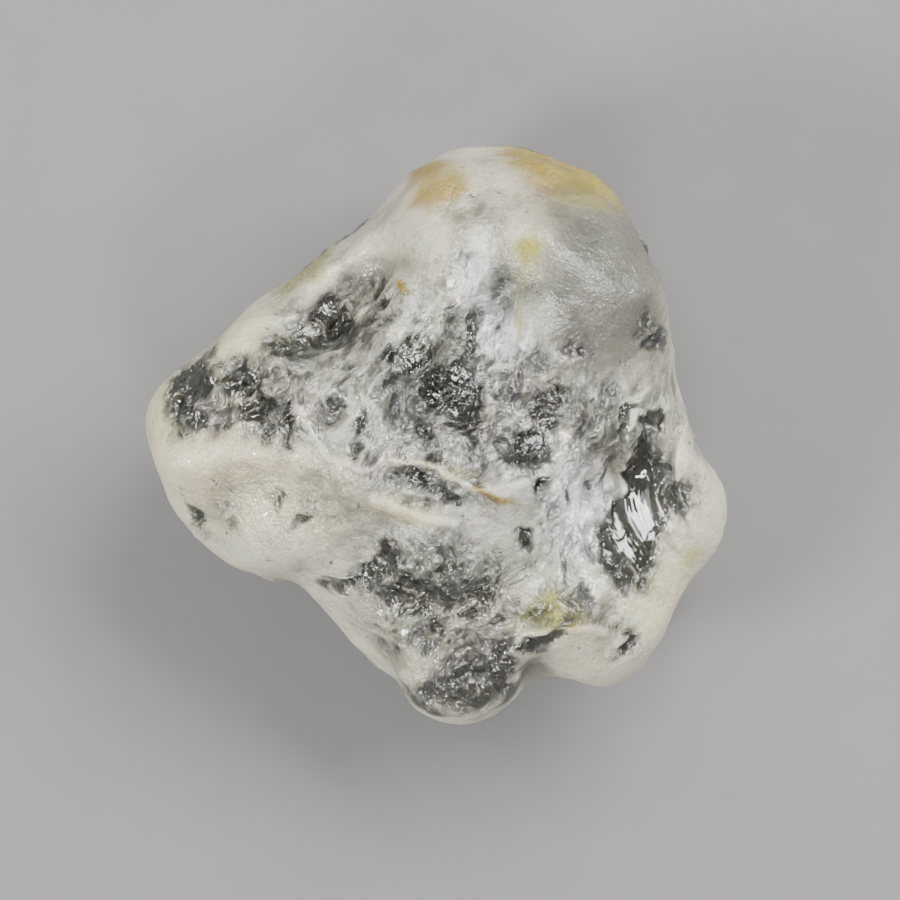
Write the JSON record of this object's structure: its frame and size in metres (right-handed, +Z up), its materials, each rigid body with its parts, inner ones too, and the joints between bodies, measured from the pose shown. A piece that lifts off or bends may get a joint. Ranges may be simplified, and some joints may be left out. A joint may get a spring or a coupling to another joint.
{
  "type": "phenakite crystal",
  "caption": "Loose, water-worn and etched clear crystal with frosted rims, shell-shaped breaks, low ridges and blunt lobes, resting on its broad side.",
  "frame": {"origin": "middle of the crystal's plan box, on the surface that it rests on", "axes": "+Z up from the rest face, +Y towards the domed end, -X towards the blunt pointed end, +X towards the two right lobes"},
  "size_m": [0.0218, 0.0218, 0.0118],
  "materials": {
    "crystal": "clear, with a frosted worn skin and faint ochre stains"
  },
  "bodies": {
    "root": {"phenakite_crystal": "crystal"}
  },
  "joints": []
}
